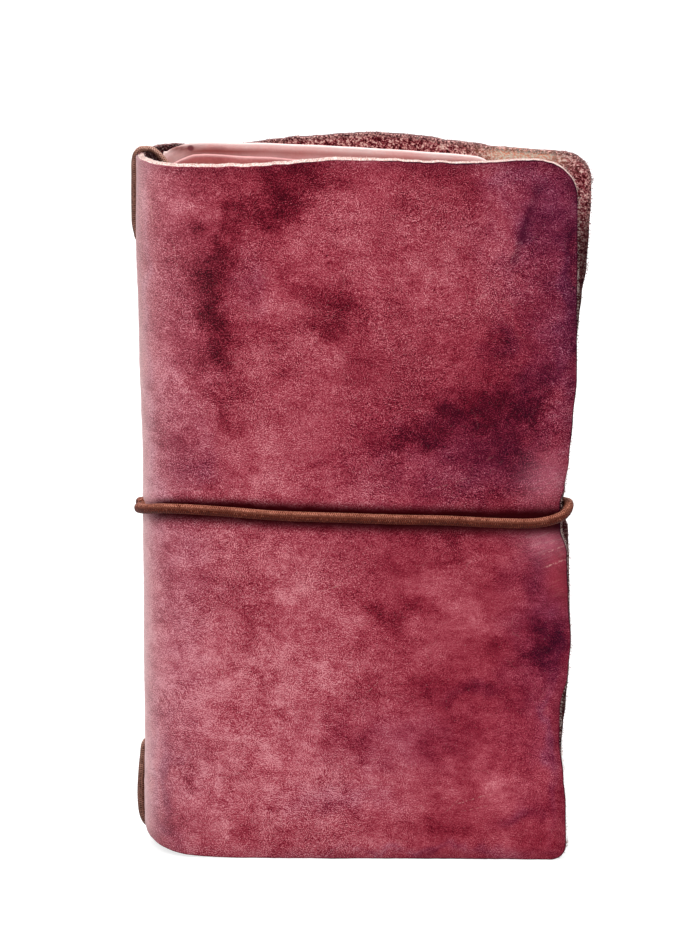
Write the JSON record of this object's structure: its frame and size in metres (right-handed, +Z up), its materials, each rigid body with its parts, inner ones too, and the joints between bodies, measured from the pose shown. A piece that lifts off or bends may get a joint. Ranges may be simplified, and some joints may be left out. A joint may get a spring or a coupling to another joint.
{
  "type": "personal organizer",
  "caption": "Leather organizer cover that opens on two creases, holds a card folder and paper notebooks on an elastic, and shuts with an elastic band.",
  "frame": {"origin": "middle of the organizer's outline on the surface that it stands on, closed", "axes": "+Z up along the height, -Y out of the front cover, +X from the spine to the fore edge"},
  "size_m": [0.1366, 0.0348, 0.2213],
  "materials": {
    "leather": "waxed pull-up leather, cloudy rose to plum, with a pale cut edge",
    "folder_leather": "smooth pink vegetable-tanned leather",
    "elastic": "brown covered elastic cord",
    "card": "kraft card",
    "paper": "cream paper",
    "staple_wire": "bright wire"
  },
  "bodies": {
    "spine": {"spine_leather": "leather", "closure_band_spine_back": "elastic", "closure_knot": "elastic", "holding_elastic": "elastic", "holding_knot_top": "elastic", "holding_knot_bottom": "elastic", "folder_fold": "folder_leather"},
    "front_cover": {"front_cover": "leather"},
    "back_cover": {"back_cover": "leather", "closure_band_back": "elastic"},
    "closure_band_turn": {"closure_band_spine_front": "elastic"},
    "closure_band_front": {"closure_band_front": "elastic"},
    "folder_front_leaf": {"folder_front_leaf": "folder_leather", "card_pocket_front_1": "folder_leather", "card_pocket_front_2": "folder_leather", "card_pocket_front_3": "folder_leather"},
    "folder_back_leaf": {"folder_back_leaf": "folder_leather", "card_pocket_back_1": "folder_leather", "card_pocket_back_2": "folder_leather", "card_pocket_back_3": "folder_leather"},
    "notebook_a_front_half": {"notebook_a_card_front": "card", "notebook_a_pages_front": "paper"},
    "notebook_a_back_half": {"notebook_a_card_back": "card", "notebook_a_pages_back": "paper", "notebook_a_elastic": "elastic", "notebook_a_staple_lower": "staple_wire", "notebook_a_staple_upper": "staple_wire"},
    "notebook_b_back_half": {"notebook_b_card_back": "card", "notebook_b_pages_back": "paper"},
    "notebook_b_front_half": {"notebook_b_card_front": "card", "notebook_b_pages_front": "paper", "notebook_b_elastic": "elastic", "notebook_b_staple_lower": "staple_wire", "notebook_b_staple_upper": "staple_wire"}
  },
  "joints": [
    {"name": "front_cover_hinge", "type": "hinge", "parent": "spine", "child": "front_cover", "pos_m": [-0.0615, -0.0099, 0], "axis": [0, 0, -1], "range_deg": [0, 90], "deforming": ["closure_band_spine_front", "closure_band_front", "closure_band_spine_back", "closure_band_back"]},
    {"name": "back_cover_hinge", "type": "hinge", "parent": "spine", "child": "back_cover", "pos_m": [-0.0615, 0.0099, 0], "axis": [0, 0, 1], "range_deg": [0, 90.5]},
    {"name": "notebook_a_front_turn", "type": "hinge", "parent": "spine", "child": "notebook_a_front_half", "pos_m": [-0.0615, -0.0099, 0], "axis": [0, 0, -1], "range_deg": [0, 87.8]},
    {"name": "notebook_a_back_turn", "type": "hinge", "parent": "spine", "child": "notebook_a_back_half", "pos_m": [-0.0615, -0.0099, 0], "axis": [0, 0, -1], "range_deg": [0, 80.6]},
    {"name": "folder_front_turn", "type": "hinge", "parent": "spine", "child": "folder_front_leaf", "pos_m": [-0.05345, -0.00295, 0], "axis": [0, 0, -1], "range_deg": [0, 70.7]},
    {"name": "folder_back_turn", "type": "hinge", "parent": "spine", "child": "folder_back_leaf", "pos_m": [-0.05345, 0.00295, 0], "axis": [0, 0, 1], "range_deg": [0, 70.7]},
    {"name": "notebook_b_front_turn", "type": "hinge", "parent": "spine", "child": "notebook_b_front_half", "pos_m": [-0.0615, 0.0099, 0], "axis": [0, 0, 1], "range_deg": [0, 80.6]},
    {"name": "notebook_b_back_turn", "type": "hinge", "parent": "spine", "child": "notebook_b_back_half", "pos_m": [-0.0615, 0.0099, 0], "axis": [0, 0, 1], "range_deg": [0, 87.8]},
    {"name": "closure_band_flip", "type": "hinge", "parent": "spine", "child": "closure_band_turn", "pos_m": [-0.0656, 0, 0.1095], "axis": [-1, 0, 0], "range_deg": [0, 180.5]},
    {"name": "closure_band_swing", "type": "hinge", "parent": "closure_band_turn", "child": "closure_band_front", "pos_m": [-0.0615, -0.0099, 0], "axis": [0, 0, -1], "range_deg": [0, 90.5]}
  ],
  "couplings": [
    {"joint": "back_cover_hinge", "follows": "front_cover_hinge", "ratio": 1},
    {"joint": "notebook_a_front_turn", "follows": "front_cover_hinge", "ratio": 0.97},
    {"joint": "notebook_a_back_turn", "follows": "front_cover_hinge", "ratio": 0.89},
    {"joint": "folder_front_turn", "follows": "front_cover_hinge", "ratio": 0.78},
    {"joint": "folder_back_turn", "follows": "front_cover_hinge", "ratio": 0.78},
    {"joint": "notebook_b_front_turn", "follows": "front_cover_hinge", "ratio": 0.89},
    {"joint": "notebook_b_back_turn", "follows": "front_cover_hinge", "ratio": 0.97},
    {"joint": "closure_band_flip", "follows": "front_cover_hinge", "ratio": 2},
    {"joint": "closure_band_swing", "follows": "front_cover_hinge", "ratio": 1}
  ]
}
